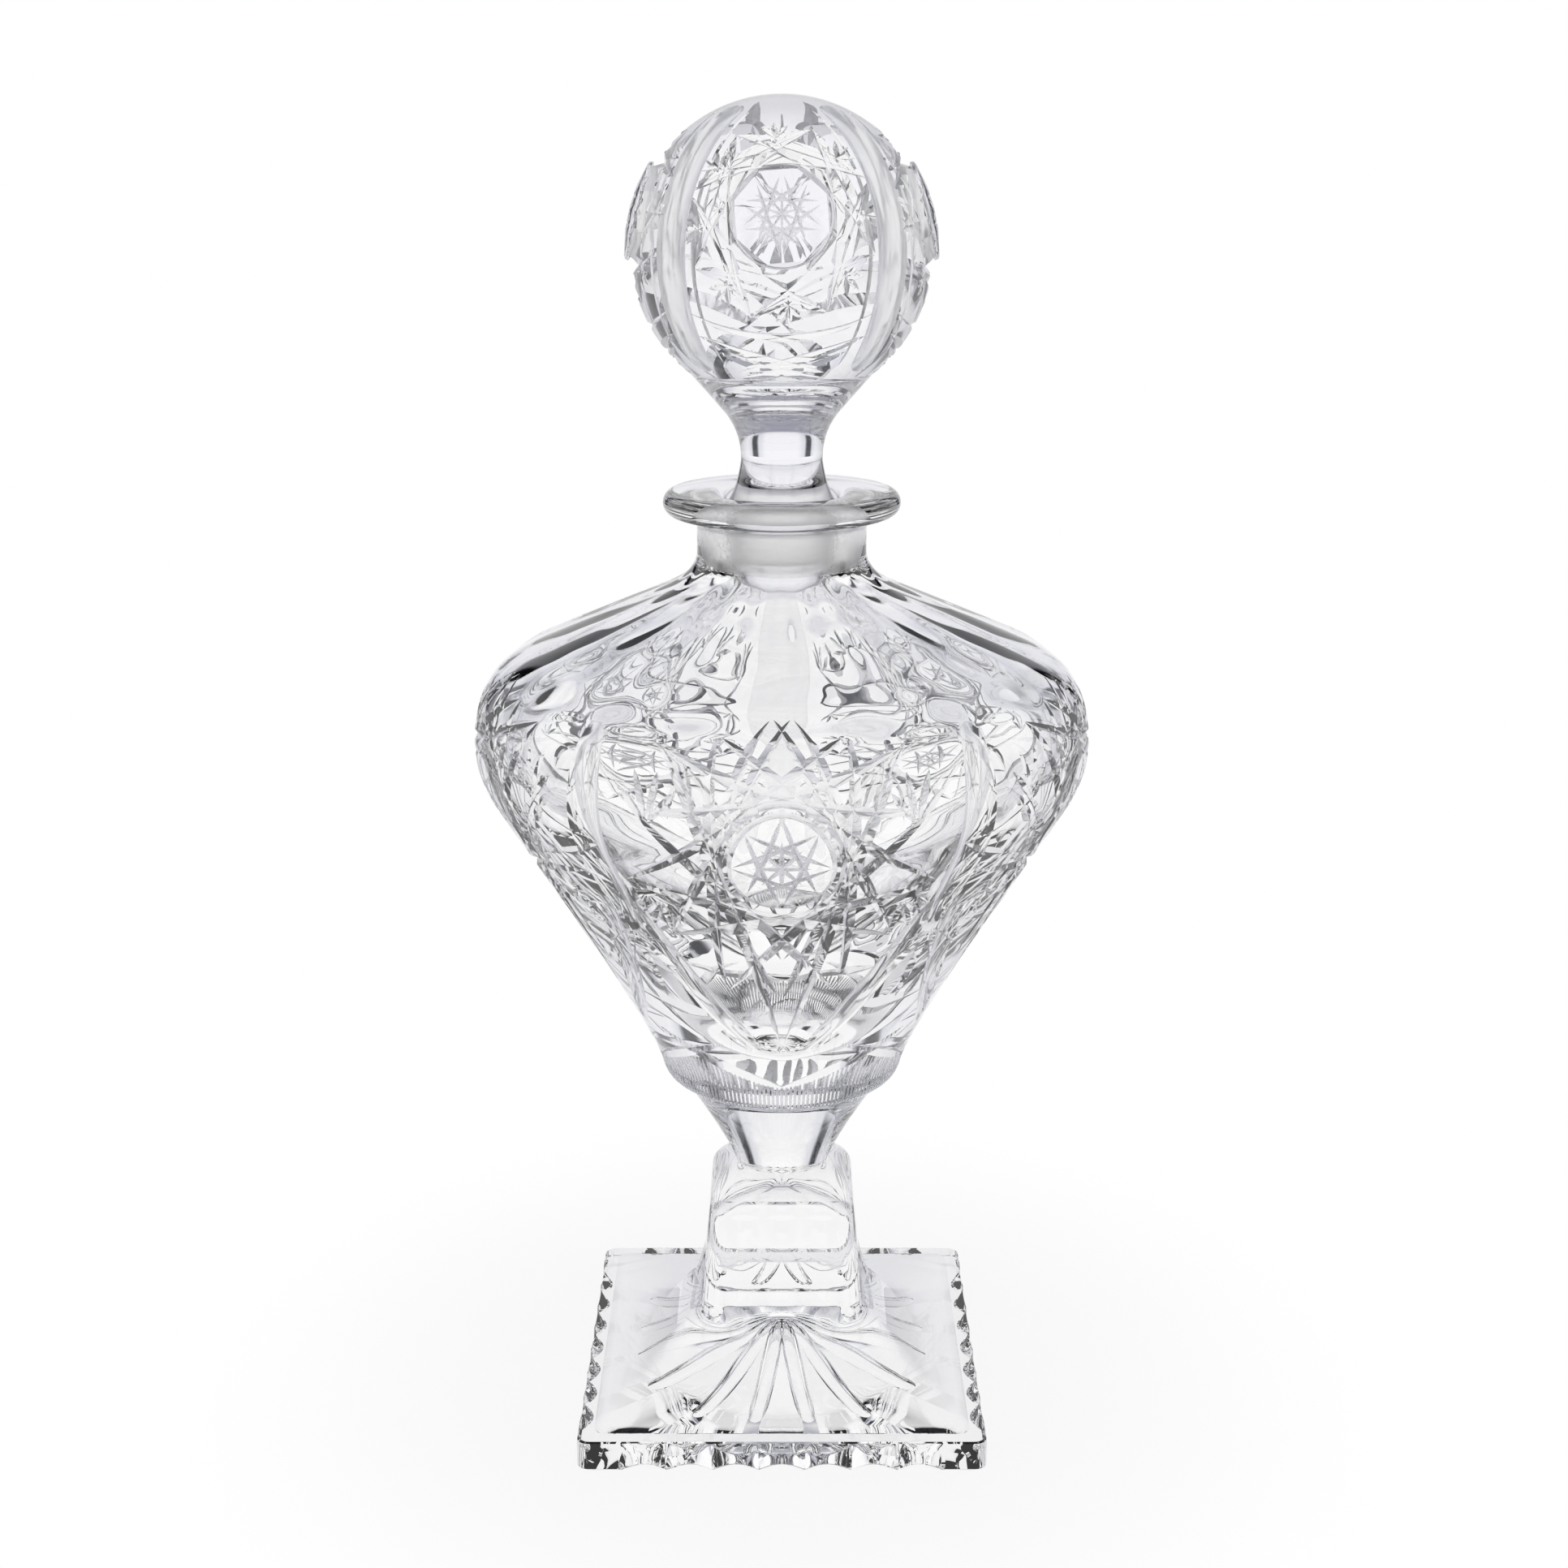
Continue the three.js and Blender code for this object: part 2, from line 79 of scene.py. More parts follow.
def linear(code):
    """An sRGB hex colour as Blender's linear red, green, blue and alpha."""
    parts = [int(code[i : i + 2], 16) / 255 for i in (1, 3, 5)]
    return [c / 12.92 if c <= 0.04045 else ((c + 0.055) / 1.055) ** 2.4 for c in parts] + [1.0]


def bezier(controls, steps):
    """Points along the curve that these controls pull."""
    t = np.linspace(0, 1, steps + 1)[:, None]
    layers = [np.array(c, float) + 0 * t for c in controls]
    while len(layers) > 1:
        layers = [a + (b - a) * t for a, b in zip(layers, layers[1:])]
    return layers[0]


def joined(*runs):
    """Runs of outline points as one, without the points that meet."""
    points = np.vstack([np.atleast_2d(np.array(r, float)) for r in runs])
    gaps = np.linalg.norm(np.diff(points, axis=0), axis=1)
    return points[np.concatenate([[True], gaps > 1e-4])]


def capped(rings):
    """A stack closed at both ends by a point in the middle."""
    return [rings[0].mean(0)[None], *rings, rings[-1].mean(0)[None]]


def solid(name, stacks, material, looped=False):
    """An object of one closed skin for each stack of rings, in millimetres. A ring of one point
    closes an end, and a looped stack joins its last ring to its first."""
    points, faces = [], []
    for rings in stacks:
        starts = []
        for ring in rings:
            starts.append(len(points))
            points.extend(ring)
        for k in range(len(rings) if looped else len(rings) - 1):
            up = (k + 1) % len(rings)
            low, high = len(rings[k]), len(rings[up])
            for j in range(max(low, high)):
                a, b = starts[k] + j % low, starts[k] + (j + 1) % low
                c, d = starts[up] + (j + 1) % high, starts[up] + j % high
                if low == high:
                    faces.append([a, b, c, d])
                elif low > 1:
                    faces.append([a, b, d])
                else:
                    faces.append([a, c, d])
    mesh = bpy.data.meshes.new(name)
    mesh.from_pydata(np.array(points) * 0.001, [], faces)
    mesh.materials.append(material)
    made = bpy.data.objects.new(name, mesh)
    bpy.context.scene.collection.objects.link(made)
    return made


def square(half, corner, z, columns):
    """A square ring with rounded corners, one point for each direction round it."""
    phi = (np.arange(columns) + 0.5) * 2 * math.pi / columns
    u, v = np.abs(np.cos(phi)), np.abs(np.sin(phi))
    straight = half / np.maximum(u, v)
    inner = half - corner
    reach = inner * (u + v)
    rounded = reach + np.sqrt(np.maximum(reach**2 - 2 * inner**2 + corner**2, 0))
    on_corner = np.minimum(u, v) * straight > inner
    r = np.where(on_corner, rounded, straight)
    return np.stack([r * np.cos(phi), r * np.sin(phi), np.full(columns, z)], 1)


def scalloped(half, depth, z):
    """A ring of the plate: hollow scallops along each side between plain corners."""
    steps = 10
    pitch = (2 * half - 2 * PLAIN_CORNER) / SCALLOPS
    k = np.arange(SCALLOPS * steps + 1)
    dip = depth * np.sin(math.pi * (k % steps) / steps)
    side = np.stack([half - dip, -half + PLAIN_CORNER + pitch * k / steps], 1)
    a = np.linspace(0, math.pi / 2, 7)
    corner = half - PLATE_CORNER + PLATE_CORNER * np.stack([np.cos(a), np.sin(a)], 1)
    quarter = np.vstack([side, corner])
    right_angle = np.array([[0, -1], [1, 0]])
    flat = np.vstack([quarter @ np.linalg.matrix_power(right_angle, q).T for q in range(4)])
    return np.hstack([flat, np.full((len(flat), 1), z)])


def node(tree, kind, settings=None, links=None):
    """Adds a node, sets its properties and sockets by name or number, and links its inputs."""
    made = tree.nodes.new(kind)
    for key, value in (settings or {}).items():
        if isinstance(key, int) or key in made.inputs:
            made.inputs[key].default_value = value
        else:
            setattr(made, key, value)
    for key, socket in (links or {}).items():
        tree.links.new(socket, made.inputs[key])
    return made


def crystal(name, colour, edge_shade, roughness, grain_mm, relief_mm, milk=0.0):
    """Lead crystal: clear, heavy glass of index 1.545, with the skin that its finish leaves. Where
    it turns away from the eye it takes the edge colour: painted shade that greys its outline, with
    a faint real tint from the longer way through. A ground skin also throws a share of the light
    back as white: that share is its milk."""
    material = bpy.data.materials.new(name)
    material.use_nodes = True
    tree = material.node_tree
    tree.nodes.clear()
    place = node(tree, "ShaderNodeTexCoord")
    skin = node(
        tree,
        "ShaderNodeTexNoise",
        {"Scale": 1000 / grain_mm, "Detail": 0.5, "Roughness": 0.5},
        {"Vector": place.outputs["Object"]},
    )
    level = node(
        tree,
        "ShaderNodeMapRange",
        {"From Min": 0.3, "From Max": 0.7, "To Min": roughness * 0.8, "To Max": roughness * 1.2},
        {"Value": skin.outputs["Fac"]},
    )
    bump = node(
        tree,
        "ShaderNodeBump",
        {"Strength": 1.0, "Distance": relief_mm * 0.001},
        {"Height": skin.outputs["Fac"]},
    )
    slant = node(tree, "ShaderNodeLayerWeight", {"Blend": 0.5})
    edge_shade_share = node(
        tree,
        "ShaderNodeMapRange",
        {"From Min": 0.35, "From Max": 0.95},
        {"Value": slant.outputs["Facing"]},
    )
    # The edge colour is painted shade, mixed in where the surface turns away from the eye
    ends = {"data_type": "RGBA", 6: linear(colour), 7: linear(edge_shade)}
    body = node(tree, "ShaderNodeMix", ends, {0: edge_shade_share.outputs["Result"]})
    shader = node(
        tree,
        "ShaderNodeBsdfPrincipled",
        {"IOR": 1.545, "Transmission Weight": 1.0 - milk},
        {
            "Base Color": body.outputs[2],
            "Roughness": level.outputs["Result"],
            "Normal": bump.outputs["Normal"],
        },
    )
    node(tree, "ShaderNodeOutputMaterial", {}, {"Surface": shader.outputs["BSDF"]})
    return material


# Pressed crystal is fire-polished: clear, with the slow waves of a skin that has flowed
pressed_crystal = crystal(
    "pressed_lead_crystal_fire_polished",
    "#ffffff",
    # Its grey-lilac edge colour is painted shade that darkens the foot's outline
    "#9a9bac",
    roughness=0.003,
    grain_mm=14.0,
    relief_mm=0.02,
)


def wheel_cut(places, normals, depths, section):
    """The stack of rings of one cut: a section swept along places on a surface."""
    along = np.gradient(places, axis=0)
    side = np.cross(along, normals)
    side /= np.linalg.norm(side, axis=1)[:, None]
    rings = []
    for p, n, s, d in zip(places, normals, side, depths):
        outline = section(d)
        rings.append(p + np.outer(outline[:, 0], s) + np.outer(outline[:, 1], n))
    return capped(rings)


def hollow(edge_radius, steps, headroom=0.5):
    """The section of a wheel with a round edge, which stands out of the glass by the headroom."""

    def section(depth):
        opening = math.acos(max(-1, (edge_radius - depth - headroom) / edge_radius))
        a = opening * (1 - 2 * np.arange(steps + 1) / steps)
        return np.stack([edge_radius * np.sin(a), edge_radius - depth - edge_radius * np.cos(a)], 1)

    return section


def combine(base, others, operation):
    """Joins the others to the base, or cuts them out of it, and keeps each one's material."""
    for other in others:
        step = base.modifiers.new(other.name, "BOOLEAN")
        step.operation = operation
        step.solver = "MANIFOLD"
        step.material_mode = "TRANSFER"
        step.object = other
    bpy.context.view_layer.update()
    graph = bpy.context.evaluated_depsgraph_get()
    shaped = bpy.data.meshes.new_from_object(base.evaluated_get(graph))
    base.modifiers.clear()
    base.data = shaped
    for other in others:
        bpy.data.objects.remove(other)
    return base


def carve(blank, cutters):
    """Cuts all these out of the blank at once."""
    tool = combine(cutters[0], cutters[1:], "UNION")
    return combine(blank, [tool], "DIFFERENCE")


def open_at(piece, z):
    """Takes away the flat face at this height, where the glass goes on into another piece."""
    shape = bmesh.new()
    shape.from_mesh(piece.data)
    faces = [f for f in shape.faces if all(abs(v.co.z - z * 0.001) < 1e-6 for v in f.verts)]
    bmesh.ops.delete(shape, geom=faces, context="FACES")
    shape.to_mesh(piece.data)
    shape.free()


def polish(piece):
    """Smooth glass everywhere but at the sharp edges that cuts leave."""
    piece.data.shade_smooth()
    piece.data.set_sharp_from_angle(angle=math.radians(SHARP_ANGLE))


# The scallops are deepest at the table and run out under the plate's softened top edge
rim = FOOT_SIDE / 2
plate = [
    scalloped(rim - 0.5, SCALLOP_DEPTH, 0.0),
    scalloped(rim, SCALLOP_DEPTH, 0.5),
    scalloped(rim, 0.8, PLATE_EDGE - 1.4),
    scalloped(rim - 0.1, 0.2, PLATE_EDGE - 0.3),
    scalloped(rim - 0.4, 0.0, PLATE_EDGE),
]
foot = solid("foot_pressed", [capped(plate)], pressed_crystal)

flare = bezier([(rim - FLARE_INSET, PLATE_EDGE + 0.5), (19.0, 10.6), BLOCK_BASE], 40)
block = bezier([BLOCK_BASE, BLOCK_TOP], 12)[1:-1]
shoulder = bezier([BLOCK_TOP, (14.2, 46.6), STEM_NECK], 20)
stem = bezier([STEM_NECK, (11, 53), (15.5, 60.5), (JOINT_RADIUS, JOINT_Z)], 36)
step_heights = (PLATE_EDGE - 2, PLATE_EDGE + 0.1)
pedestal = [square(rim - STEP_INSET, PLATE_CORNER, z, COLUMNS) for z in step_heights]
# The flare's corners are rounder half-way down than those of the block above it
flare_corners = BLOCK_CORNER + FLARE_ROUNDING * np.sin(math.pi * np.linspace(0, 1, len(flare)))
pedestal += [square(half, c, z, COLUMNS) for (half, z), c in zip(flare, flare_corners)]
pedestal += [square(half, BLOCK_CORNER, z, COLUMNS) for half, z in block]
# Over the block's shoulder the square turns into the stem's circle
neck_corners = np.linspace(BLOCK_CORNER, STEM_NECK[0], len(shoulder))
pedestal += [square(half, min(c, half), z, COLUMNS) for (half, z), c in zip(shoulder, neck_corners)]
pedestal += [square(r, r, z, COLUMNS) for r, z in stem[1:]]
foot = combine(foot, [solid("pedestal", [capped(pedestal)], pressed_crystal)], "UNION")

under = bezier([(UNDER_RADIUS, 0), (12, 2), (9, UNDER_HEIGHT), (0, UNDER_HEIGHT)], 24)


def under_cuts():
    """The hollow under the plate, and its star of rays, which reach further to the corners."""
    phi = np.arange(COLUMNS) * 2 * math.pi / COLUMNS
    directions = np.stack([np.cos(phi), np.sin(phi), 0 * phi], 1)
    outline = joined((UNDER_RADIUS + 2, -1), under[:-1])
    well = [directions * r + np.array([0, 0, z]) for r, z in outline]
    star = []
    for k in range(RAYS):
        angle = 2 * math.pi * (k + 0.5) / RAYS
        out = np.array([math.cos(angle), math.sin(angle), 0])
        reach = RAY_REACH + RAY_STRETCH * math.sin(2 * angle) ** 2
        r = np.linspace(RAY_START, reach, RAY_STEPS + 1)
        z = np.interp(-r, -under[:, 0], under[:, 1])
        places = np.outer(r, out) + np.outer(z, [0, 0, 1])
        normals = np.outer(np.gradient(z, r), out) - np.array([0, 0, 1])
        normals /= np.linalg.norm(normals, axis=1)[:, None]
        # A ray is deepest beyond its middle, and its ends come just clear of the glass
        share = np.linspace(0, 1, RAY_STEPS + 1) ** 1.4
        depths = RAY_DEPTH * np.sin(math.pi * share) ** 0.7 - 0.04
        star.append(wheel_cut(places, normals, depths, hollow(RAY_ROUNDING, 10)))
    return [solid("well", [capped(well)], pressed_crystal), solid("star", star, pressed_crystal)]


foot = carve(foot, under_cuts())
# The foot is fused on, so no skin lies between it and the vessel: they meet rim to rim
open_at(foot, JOINT_Z)
polish(foot)
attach(foot, "bottle")
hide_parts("foot")


# Vessel. One blown piece of lead crystal with thick walls, cut cold on stone wheels and then
# polished in acid. Its neck and lip are tooled hot. The seat in the neck is ground to a taper
# with the stopper's peg, so both stay matt.

# The belly is a hair inside the solid's, to stay within the box of the solid's flat facets
BELLY = (59.28, 137.5)
NECK_RADIUS = 16.1
LIP = (22.5, 183.5)
LIP_HALF = 2.4
SEAT = ((9.75, 170.0), (10.75, 183.0))
CAVITY_FLOOR = 80.0
SHOULDER_FLUTES = 20
FLUTE_TOP = 171.0
FLUTE_END = 151.0
FLUTE_DEPTH = 0.65
FIELDS = 5
MEDALLION = (9.7, 129.0)
MEDALLION_STRETCH = 1.16
STAR_TOUCH = MEDALLION[0] + 1.7
STAR_SKIP = 6
STAR_DEPTH = 1.1
# Lengths of the ribs of a fan, from one side to the other
FEATHER = (8, 10, 10, 8)
LOW_FAN = (12, 16, 20, 16, 12)
# The base's ribs begin and end at these lengths up the wall from a medallion's middle
BASE_RIBS = 180
RIB_FOOT = -69.6
RIB_TOP = -59.6
RIB_WAVE = 2.6
# Points round a ring of the vessel or the stopper
ROUND = 360

# The blown skin: quite clear, with a lavender-grey edge colour that is painted shade at its outline,
# tinted with the faint lavender of a long way through lead glass
blown_crystal = crystal(
    "lead_crystal_blown_skin",
    "#ffffff",
    "#b4b5c4",
    roughness=0.003,
    grain_mm=14.0,
    relief_mm=0.5,
)
# Acid-polished cuts have softened wheel marks, a breath of milkiness, and flanks greyed by painted
# shade where they turn away from the eye
cut_crystal = crystal(
    "lead_crystal_cut_and_polished",
    "#ffffff",
    "#a5a6b6",
    roughness=0.06,
    grain_mm=3.0,
    relief_mm=0.006,
    milk=0.12,
)
# Cuts left from the fine wheel: a grey-white matt that spreads what is behind it. The real grit
# marks are finer than 0.1 mm, and are drawn at 0.6 mm so that they show.
matt_cut = crystal(
    "lead_crystal_wheel_matt",
    "#f6f6fa",
    # Its pale grey edge colour is painted shade where the cut turns away from the eye
    "#d4d5e0",
    roughness=0.3,
    grain_mm=0.6,
    relief_mm=0.01,
    milk=0.35,
)
# The seat and the peg are ground together with wet grit, which leaves the densest matt. Its
# marks too are drawn coarser than the real ones, at 0.5 mm.
ground_crystal = crystal(
    "lead_crystal_ground_seat",
    "#ffffff",
    # Its faint grey edge colour is painted shade where the seat turns away from the eye
    "#f4f4f8",
    roughness=0.4,
    grain_mm=0.5,
    relief_mm=0.012,
)


def profile(start, *curves):
    """An outline of curves, each given as its steps and its controls, and each starting where the
    last one ends."""
    runs = []
    for steps, *controls in curves:
        runs.append(bezier([start, *controls], steps))
        start = controls[-1]
    return joined(*runs)


lip_arc = [
    (LIP[0] - LIP_HALF + LIP_HALF * math.cos(a), LIP[1] + LIP_HALF * math.sin(a))
    for a in np.linspace(-math.pi / 2, math.pi / 2, 17)
]
wall = profile(
    (JOINT_RADIUS, JOINT_Z),
    (3, (22.9, 68.9)),
    (5, (23.8, 69.6), (24.3, 72)),
    (70, (27.5, 82), (44.2, 108), (56.4, 128)),
    (14, (BELLY[0], 133.3), BELLY),
    (30, (BELLY[0], 146), (56.5, 152.3), (48.1, 156)),
    (28, (22.5, 167.2)),
    (14, (NECK_RADIUS, 170), (NECK_RADIUS, 174.5)),
    (4, (NECK_RADIUS, 178.4)),
    (8, (NECK_RADIUS, LIP[1] - LIP_HALF), lip_arc[0]),
)
throat_and_cavity = profile(
    lip_arc[-1],
    (14, (14.0, LIP[1] + LIP_HALF), (11.4, 185.4), SEAT[1]),
    (12, SEAT[0]),
    (16, (SEAT[0][0], 165.5), (19, 161.4)),
    (16, (44.5, 150.4)),
    (20, (49.5, 148.2), (53.2, 146.5), (53.8, 139)),
    (8, (53.8, 134.5), (51, 130.5)),
    (40, (40, 114), (24, 103), (15.5, 91)),
    (24, (8, CAVITY_FLOOR + 1.5), (0.2, CAVITY_FLOOR)),
)
inside = joined(lip_arc, throat_and_cavity)
wall_length = np.concatenate([[0], np.cumsum(np.linalg.norm(np.diff(wall, axis=0), axis=1))])


def circle(radius, z):
    """A ring round the axis, of one radius or of one for each direction."""
    phi = np.arange(ROUND) * 2 * math.pi / ROUND
    return np.stack([radius * np.cos(phi), radius * np.sin(phi), np.full(ROUND, z)], 1)


def fluted(r, z):
    """A ring of the wall, which the shoulder hollows into flutes between soft ridges."""
    phi = np.arange(ROUND) * 2 * math.pi / ROUND
    share = np.clip((z - FLUTE_END) / (FLUTE_TOP - FLUTE_END), 0, 1)
    across = np.sin(phi * SHOULDER_FLUTES / 2) ** 2
    return circle(r - FLUTE_DEPTH * (0.5 + r / 60) * across * np.sin(math.pi * share) ** 0.6, z)


def on_axis(z):
    """The point that closes a stack of circles."""
    return np.array([[0, 0, z]])


skin = [fluted(r, z) for r, z in wall] + [circle(r, z) for r, z in inside[1:]]
vessel = solid("vessel_cut", [[on_axis(JOINT_Z), *skin, on_axis(CAVITY_FLOOR)]], blown_crystal)


def along_wall(length):
    """Radius and height on the vessel's outline, at a length along it."""
    return np.stack([np.interp(length, wall_length, column) for column in wall.T])


def on_vessel(middle, across, up):
    """Places and outward normals on the bowl, from millimetres across and up from a medallion."""
    length = np.interp(MEDALLION[1], wall[:, 1], wall_length) + up
    r, z = along_wall(length)
    dr, dz = along_wall(length + 0.5) - along_wall(length - 0.5)
    phi = middle + across / r
    tilt = np.hypot(dr, dz)
    return (
        np.stack([r * np.cos(phi), r * np.sin(phi), z], 1),
        np.stack([dz * np.cos(phi), dz * np.sin(phi), -dr], 1) / tilt[:, None],
    )


def on_oval(middle, across, up):
    """The same for what is drawn round a medallion, which is taller than it is wide."""
    return on_vessel(middle, across, up * MEDALLION_STRETCH)


def mitre(half_angle, headroom=0.4):
    """The section of a wheel with a V edge, which stands out of the glass by the headroom."""
    lean = math.tan(math.radians(half_angle))

    def section(depth):
        half = (depth + headroom) * lean
        return np.array([[0, -depth], [-half, headroom], [half, headroom]])

    return section


def cut_between(surface, middle, curve, depth, section, power=0.6):
    """A cut along a plane curve drawn on a surface. Both ends come out of the glass, in a blunter
    point the smaller the power."""
    places, normals = surface(middle, curve[:, 0], curve[:, 1])
    share = np.linspace(0, 1, len(curve))
    depths = depth * np.sin(math.pi * share) ** power - 0.06
    return wheel_cut(places, normals, depths, section)


def engraved(name, surface, middles, curve, depth, section, material, power=0.6):
    """One object that holds the same cut on every field."""
    cuts = [cut_between(surface, m, curve, depth, section, power) for m in middles]
    return solid(name, cuts, material)


def ring_cut(surface, middle, radius, depth, section, steps):
    """A closed groove round the middle of a field."""
    a = np.arange(steps) * 2 * math.pi / steps
    places, normals = surface(middle, radius * np.cos(a), radius * np.sin(a))
    heart = surface(middle, np.zeros(1), np.zeros(1))[0]
    out = places - heart
    out -= normals * np.sum(out * normals, 1)[:, None]
    out /= np.linalg.norm(out, axis=1)[:, None]
    wide, high = section(depth).T
    return [p + np.outer(wide, o) + np.outer(high, n) for p, o, n in zip(places, out, normals)]


def touching(a, b, radius, steps):
    """A slightly bent line from a to b that touches the circle round the origin on its way."""
    a, b = np.array(a, float), np.array(b, float)
    aside = np.array([b[1] - a[1], a[0] - b[0]])
    aside *= np.sign(aside @ (a + b)) / np.linalg.norm(aside)
    # The curve's own middle lies half-way from the middle of a and b to this control
    control = 2 * radius * aside - (a + b) / 2
    return bezier([a, control, b], steps)


def star_cutters(name, surface, middles, tips, skip, radius, depth, steps, material):
    """A star's mitres. Each runs from one tip to another, so many tips on, and touches a circle."""
    cutters = []
    for i, tip in enumerate(tips):
        label = "%s_%d" % (name, i)
        curve = touching(tip, tips[(i + skip) % len(tips)], radius, steps)
        cutters.append(engraved(label, surface, middles, curve, depth, mitre(52), material))
    return cutters


def rosette(name, surface, middles, radius, points, skip, depth):
    """The small matt star inside a medallion, with its short diameters."""
    angles = math.pi / 2 + 2 * math.pi * np.arange(points) / points
    tips = radius * np.stack([np.cos(angles), np.sin(angles)], 1)
    strokes = [(tips[i], tips[(i + skip) % points], depth) for i in range(points)]
    strokes += [(tips[i] * 0.62, -tips[i] * 0.62, depth * 0.9) for i in range(points // 2)]
    cutters = []
    for i, (start, end, deep) in enumerate(strokes):
        label = "%s_%d" % (name, i)
        line = bezier([start, end], 4)
        cutters.append(engraved(label, surface, middles, line, deep, mitre(54), matt_cut, 0.35))
    return cutters


def fan_cutters(name, middles, at, heading, spread, lengths, depth, half_angle):
    """Pointed cuts on the bowl that spread from a point like a fan, one object for each rib."""
    cutters = []
    for i, length in enumerate(lengths):
        label = "%s_%d" % (name, i)
        angle = math.radians(heading + spread * (2 * i / (len(lengths) - 1) - 1))
        aim = np.array([math.cos(angle), math.sin(angle)])
        rib = bezier([np.array(at) + 0.8 * aim, np.array(at) + length * aim], 10)
        section = mitre(half_angle)
        cutters.append(engraved(label, on_vessel, middles, rib, depth, section, cut_crystal))
    return cutters


def bearings(count):
    """Directions of so many like fields round the axis, the first one facing the front."""
    return [-math.pi / 2 + 2 * math.pi * k / count for k in range(count)]


middles = bearings(FIELDS)
betweens = [m + math.pi / FIELDS for m in middles]

# Points of the star, across and up from the medallion, from the top down its right side; the
# left side mirrors it
STAR_TOP = [(1.7, 28.6), (11.1, 24.8), (21.3, 21.9), (26.7, 10.1)]
STAR_LOW = [(29.3, -6.5), (20.7, -20.3), (10.1, -35.4)]
STAR_SIDE = [(x, y / MEDALLION_STRETCH) for x, y in STAR_TOP + STAR_LOW]
STAR_FOOT = [(0, -52 / MEDALLION_STRETCH), (0, -37.4 / MEDALLION_STRETCH)]
STAR_TIPS = [*STAR_SIDE, *STAR_FOOT, *[(-x, y) for x, y in reversed(STAR_SIDE)]]
cutters = star_cutters(
    "star", on_oval, middles, STAR_TIPS, STAR_SKIP, STAR_TOUCH, STAR_DEPTH, 18, cut_crystal
)
medallions = [ring_cut(on_oval, m, MEDALLION[0], 0.55, mitre(60), 64) for m in middles]
cutters.append(solid("medallions", medallions, cut_crystal, looped=True))
cutters += rosette("rosette", on_oval, middles, 9.0, 8, 3, 0.42)
# A tall olive stands between two fields, over crossed kerfs
olive = bezier([(0, -19.4), (0, 24.6)], 24)
cutters.append(engraved("olives", on_vessel, betweens, olive, 1.3, hollow(7, 12), cut_crystal))
for lean in (-1, 1):
    kerf = bezier([(-17 * lean, -63.9), (-6 * lean, -58.4), (8 * lean, -51.4)], 14)
    kerfs = engraved("kerfs_%d" % lean, on_vessel, betweens, kerf, 1.0, mitre(55), cut_crystal)
    # A long hollow sweep runs down either side of the star, between a feather and a plume
    sweep = bezier([(28 * lean, -12), (21 * lean, -31), (4 * lean, -53)], 22)
    sweeps = engraved("sweeps_%d" % lean, on_vessel, middles, sweep, 0.8, hollow(6, 10), cut_crystal)
    cutters += [kerfs, sweeps]
    for label, at, heading in (("feather", (24 * lean, 7.6), 90), ("plume", (22 * lean, -10.4), -90)):
        cutters += fan_cutters("%s_%d" % (label, lean), middles, at, heading, 39, FEATHER, 0.7, 50)
cutters += fan_cutters("low_fan", betweens, (0, -20.4), -90, 52, LOW_FAN, 0.8, 52)
# Fine ribs round the foot of the bowl, left matt, that end in a wave under the fields
ribs = []
for angle in np.arange(BASE_RIBS) * 2 * math.pi / BASE_RIBS:
    top = RIB_TOP + RIB_WAVE * math.sin(FIELDS * angle)
    rib = bezier([(0, RIB_FOOT), (0, top)], 8)
    ribs.append(cut_between(on_vessel, angle, rib, 0.3, mitre(52), 0.3))
cutters.append(solid("ribs", ribs, matt_cut))
vessel = carve(vessel, cutters)


def grind(piece, material, low, high, reach):
    """Gives the skin between two heights, within this reach of the axis, another finish."""
    piece.data.materials.append(material)
    finish = len(piece.data.materials) - 1
    for face in piece.data.polygons:
        x, y, z = face.center * 1000
        if low < z < high and math.hypot(x, y) < reach:
            face.material_index = finish


grind(vessel, ground_crystal, SEAT[0][1], SEAT[1][1], SEAT[1][0] + 1)
open_at(vessel, JOINT_Z)
polish(vessel)
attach(vessel, "bottle")
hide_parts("vessel")


# Stopper. One solid piece of lead crystal, pressed as a ball with a peg, cut like the bowl and
# polished. The peg is ground into the vessel's seat and only its rounded end is left clear.

BALL = (27.8, 229.5)
BALL_FOOT = (17.0, 207.6)
WAIST = (7.7, 191.5)
PEG_TIP = 163.5
# The gap between the peg and its seat
SEAM = 0.3
BALL_FIELDS = 4
# How far over the level of the ball's middle its medallions sit
BALL_RISE = math.radians(15.6)
BOSS_HEIGHT = 1.1
BALL_TIPS = 8
TIP_RADIUS = 18.5
SMALL_STAR_RADIUS = 15.6
SMALL_STAR_REACH = 3.8
SMALL_STAR_KERFS = 4

# The ball is solid, so it gathers more of the grey round the bottle than the thin walls do; its dark
# edge colour paints that grey in as shade at its outline
solid_crystal = crystal(
    "lead_crystal_solid_ball",
    "#f6f6fa",
    "#56576a",
    roughness=0.003,
    grain_mm=9.0,
    relief_mm=0.05,
)
# Its cuts are polished brighter than the bowl's, and their flanks take painted shade nearly as dark
# as the ball's edge colour
ball_cut = crystal(
    "lead_crystal_ball_cuts",
    "#ffffff",
    "#6c6d80",
    roughness=0.02,
    grain_mm=3.0,
    relief_mm=0.006,
    milk=0.08,
)
# The hollow bands between the fields are left satin from the polishing wheel
satin_band = crystal(
    "lead_crystal_satin_band",
    "#ffffff",
    # Its pale grey edge colour is painted shade where the band turns away from the eye
    "#dcdde6",
    roughness=0.16,
    grain_mm=3.0,
    relief_mm=0.004,
    milk=0.35,
)

